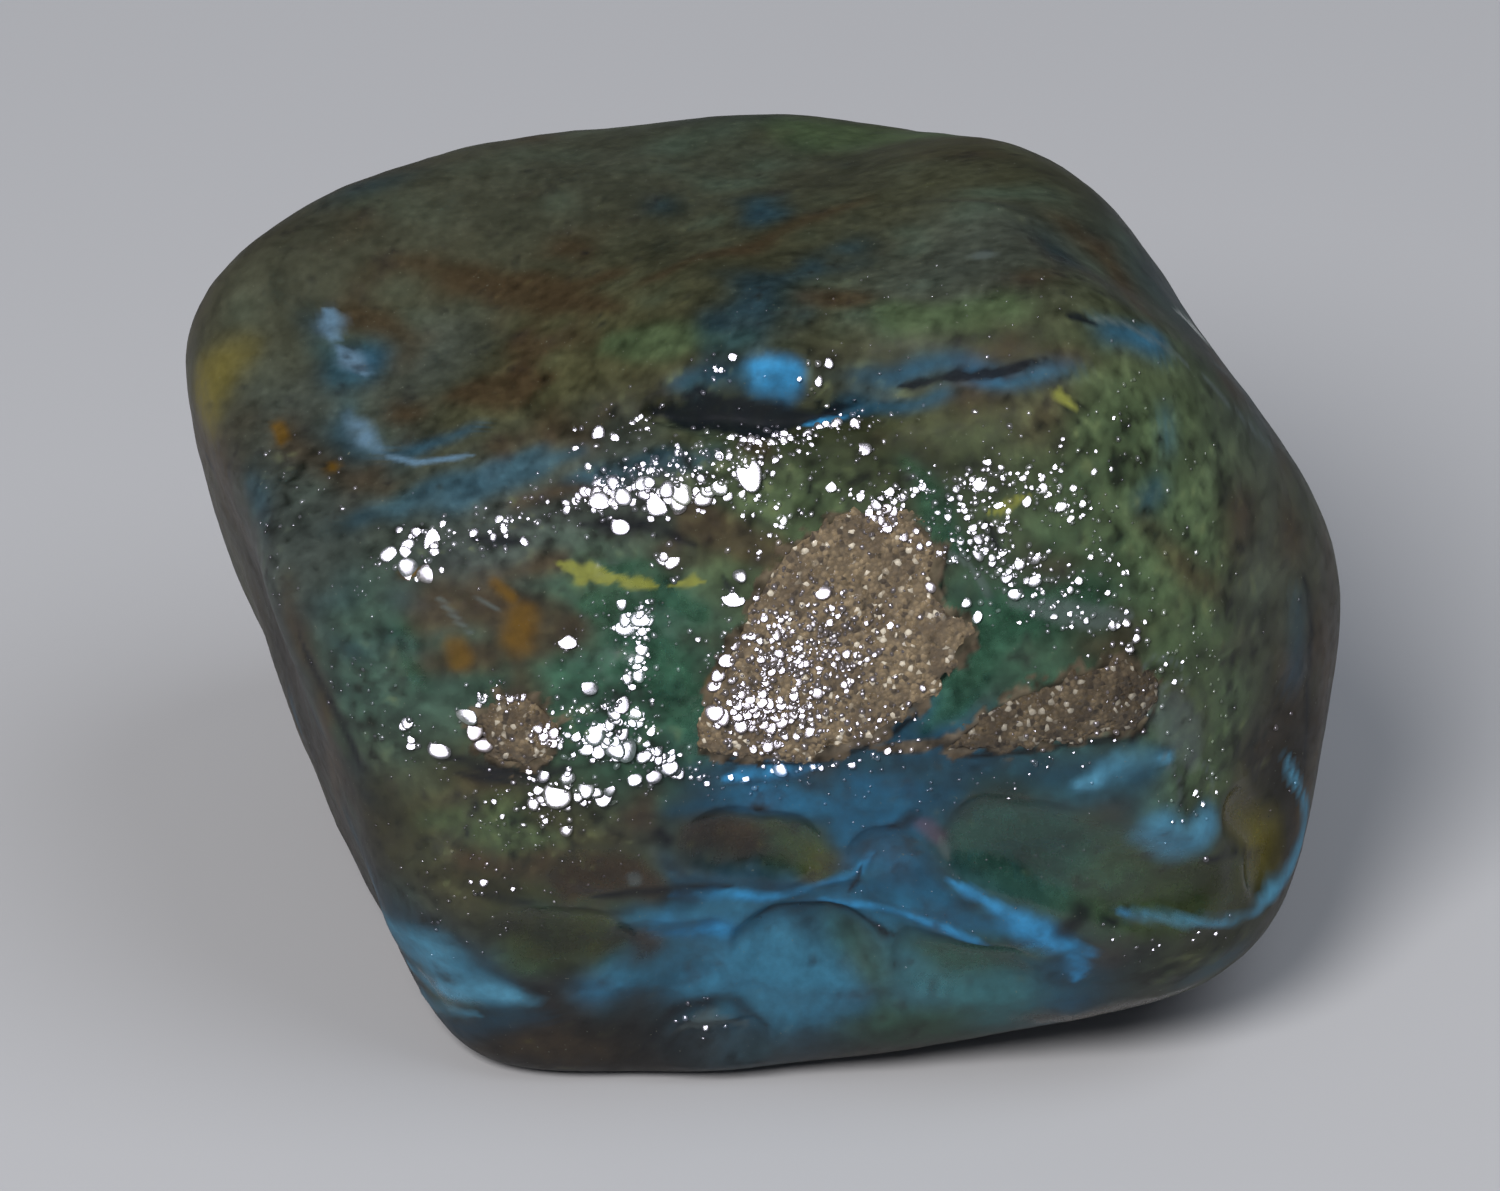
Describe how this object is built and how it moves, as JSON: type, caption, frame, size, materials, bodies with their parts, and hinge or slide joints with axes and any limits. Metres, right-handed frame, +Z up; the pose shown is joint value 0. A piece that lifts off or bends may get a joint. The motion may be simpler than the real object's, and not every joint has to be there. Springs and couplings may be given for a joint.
{
  "type": "rough amber",
  "caption": "Rough amber nugget with rounded broken faces, folds and hollows, sandy crust remnants set in its front, and a flat resting face.",
  "frame": {"origin": "on the ground under the middle of the nugget's box", "axes": "+X to the right along the longest side, +Y to the back, away from the face with the sandy crust, +Z up"},
  "size_m": [0.0304, 0.025, 0.0212],
  "materials": {
    "amber": "glossy, deep olive amber with teal and blue clouds, see-through at thin edges",
    "sandy_crust": "matte grey brown sand with bright grains"
  },
  "bodies": {
    "root": {"amber_body": "amber", "sandy_crust_centre": "sandy_crust", "sandy_crust_right": "sandy_crust", "sandy_crust_left": "sandy_crust"}
  },
  "joints": []
}
